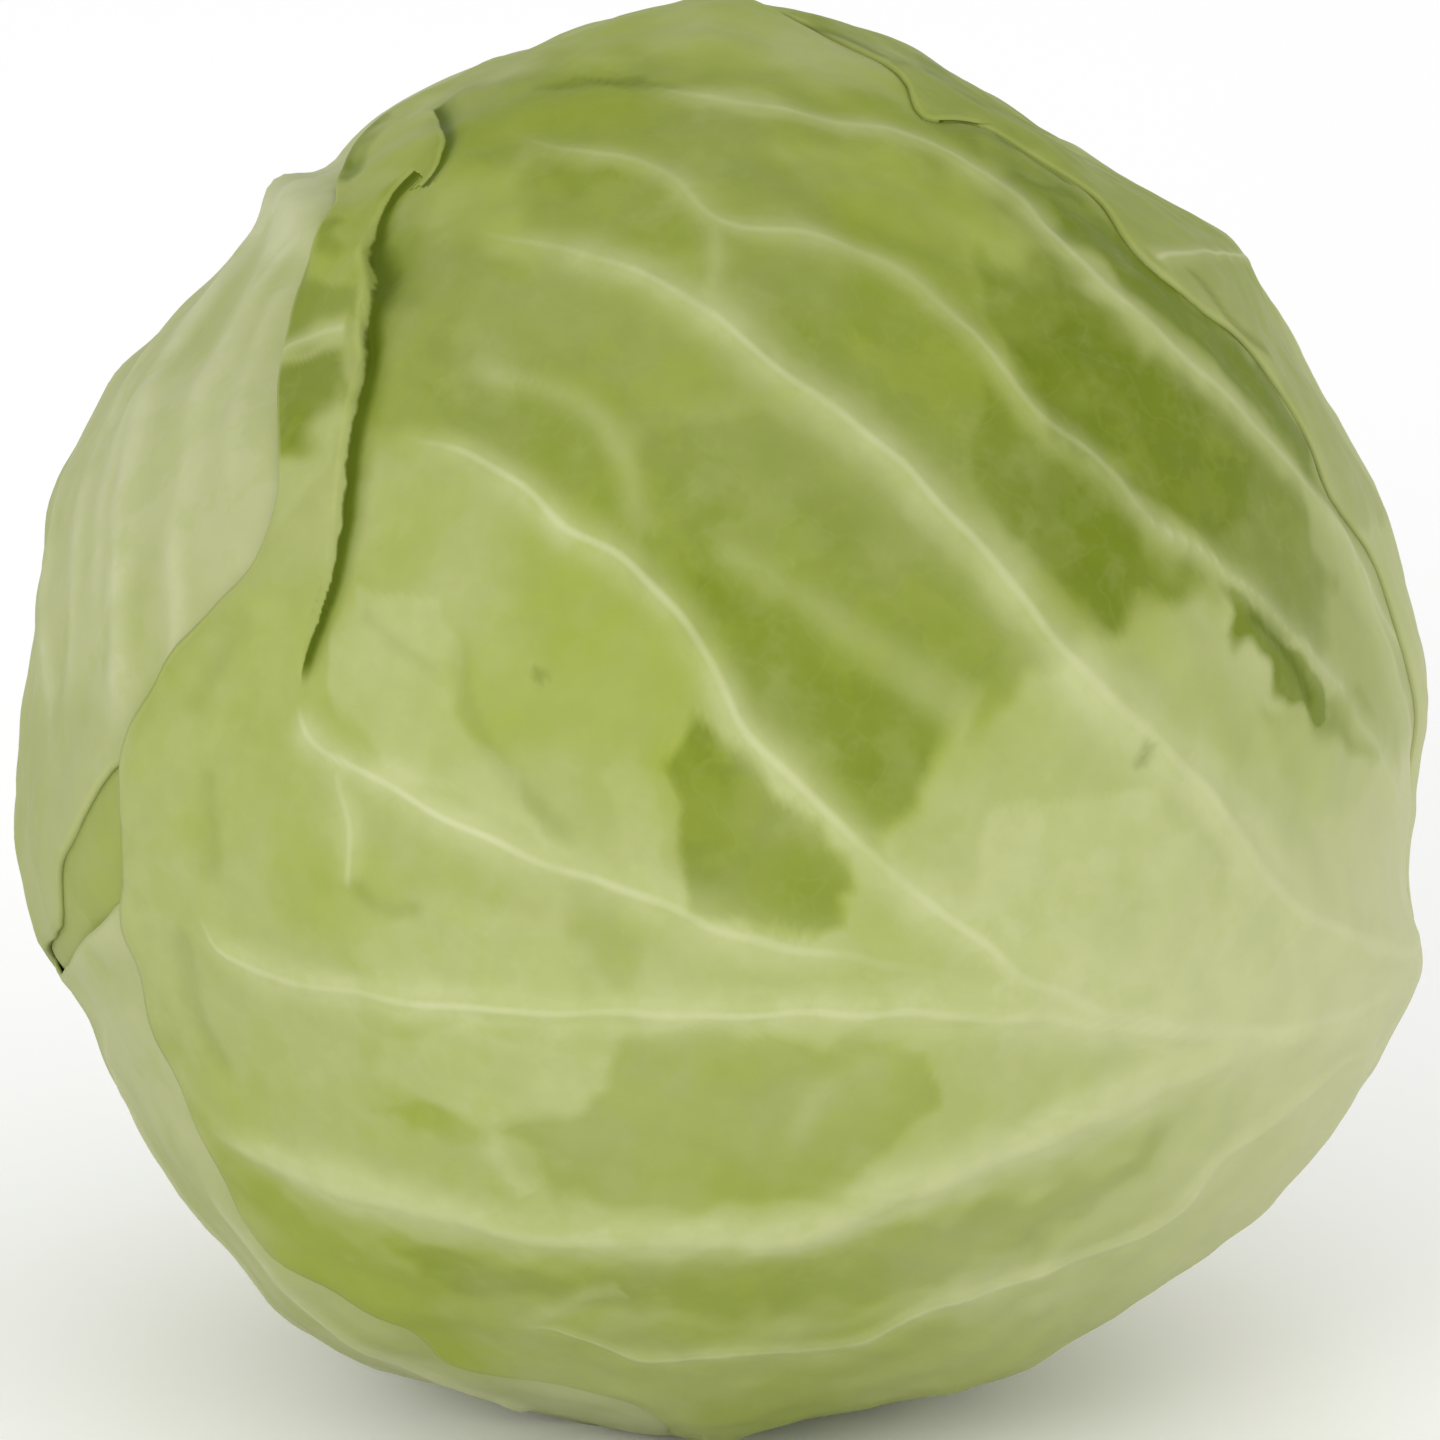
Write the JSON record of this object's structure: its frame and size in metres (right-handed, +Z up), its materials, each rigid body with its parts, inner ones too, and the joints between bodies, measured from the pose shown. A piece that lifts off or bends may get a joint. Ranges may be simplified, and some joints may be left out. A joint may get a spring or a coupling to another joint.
{
  "type": "cabbage head",
  "caption": "Head of green cabbage on its side, wrapped in ribbed leaves, one torn near its margin, with the cut stem to the right.",
  "frame": {"origin": "on the surface that the head rests on, under the middle of its bounding box", "axes": "+Z up, +X to the side that the cut stem points to, -Y to the front, which faces 18 degrees upwards"},
  "size_m": [0.1797, 0.1773, 0.178],
  "materials": {
    "outer_leaf": "satin",
    "pale_leaf": "satin",
    "under_leaf": "matte",
    "inner_leaf": "satin",
    "stem_flesh": "matte"
  },
  "bodies": {
    "root": {"cut_stem": "stem_flesh", "inner_head": "inner_leaf", "leaf_top": "outer_leaf", "leaf_front": "outer_leaf", "leaf_back": "outer_leaf", "leaf_left": "pale_leaf", "leaf_under": "under_leaf"}
  },
  "joints": []
}
